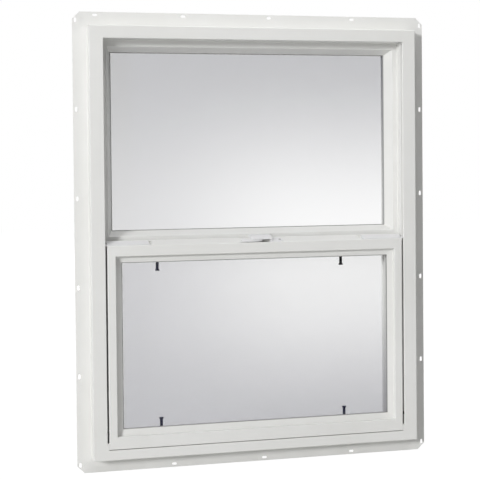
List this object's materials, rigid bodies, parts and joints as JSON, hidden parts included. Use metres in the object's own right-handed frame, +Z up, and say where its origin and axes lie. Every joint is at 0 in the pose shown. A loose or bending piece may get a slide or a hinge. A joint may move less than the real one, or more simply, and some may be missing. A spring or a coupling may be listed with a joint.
{
  "type": "single hung window",
  "caption": "White vinyl single hung window with a nailing fin, a fixed upper light, a sliding lower sash with lock and tilt latches, and an outer half insect screen.",
  "frame": {"origin": "on the room-side face of the nailing fin, midway across the window and halfway down the fin below the sill", "axes": "+X to the right seen from the room, +Y outdoors through the wall, +Z up"},
  "size_m": [0.82, 0.0825, 1.016],
  "materials": {
    "white_vinyl": "satin white extruded vinyl",
    "clear_glass": "clear float glass",
    "spacer_metal": "mill finish spacer bar",
    "white_hardware": "moulded white",
    "pivot_steel": "plain",
    "white_screen_frame": "white baked paint",
    "screen_cloth": "woven glass fibre insect cloth",
    "spline_rubber": "ribbed round cord",
    "black_tab": "moulded black",
    "grey_pile": "woven pile weatherstrip",
    "gasket_rubber": "soft bulb gasket",
    "seal_rubber": "flexible grey glazing seal"
  },
  "bodies": {
    "root": {"frame_head": "white_vinyl", "frame_sill": "white_vinyl", "frame_jamb_left": "white_vinyl", "frame_jamb_right": "white_vinyl", "fixed_meeting_rail": "white_vinyl", "upper_bead_top": "white_vinyl", "upper_bead_bottom": "white_vinyl", "upper_bead_left": "white_vinyl", "upper_bead_right": "white_vinyl", "sash_top_rail": "white_vinyl", "sash_bottom_rail": "white_vinyl", "sash_stile_left": "white_vinyl", "sash_stile_right": "white_vinyl", "sash_bead_top": "white_vinyl", "sash_bead_bottom": "white_vinyl", "sash_bead_left": "white_vinyl", "sash_bead_right": "white_vinyl", "upper_pane_room": "clear_glass", "upper_pane_outside": "clear_glass", "sash_pane_room": "clear_glass", "sash_pane_outside": "clear_glass", "upper_spacer": "spacer_metal", "sash_spacer": "spacer_metal", "lock_housing": "white_hardware", "lock_lever": "white_hardware", "lock_keeper": "white_hardware", "tilt_latch_left": "white_hardware", "tilt_latch_right": "white_hardware", "pivot_bar_left": "pivot_steel", "pivot_bar_right": "pivot_steel", "screen_bar_top": "white_screen_frame", "screen_bar_bottom": "white_screen_frame", "screen_bar_left": "white_screen_frame", "screen_bar_right": "white_screen_frame", "screen_mesh": "screen_cloth", "screen_spline": "spline_rubber", "screen_pull_tabs": "black_tab", "sash_pile_left": "grey_pile", "sash_pile_right": "grey_pile", "meeting_pile": "grey_pile", "sash_gasket": "gasket_rubber", "upper_glazing_seal": "seal_rubber", "sash_glazing_seal": "seal_rubber"}
  },
  "joints": []
}
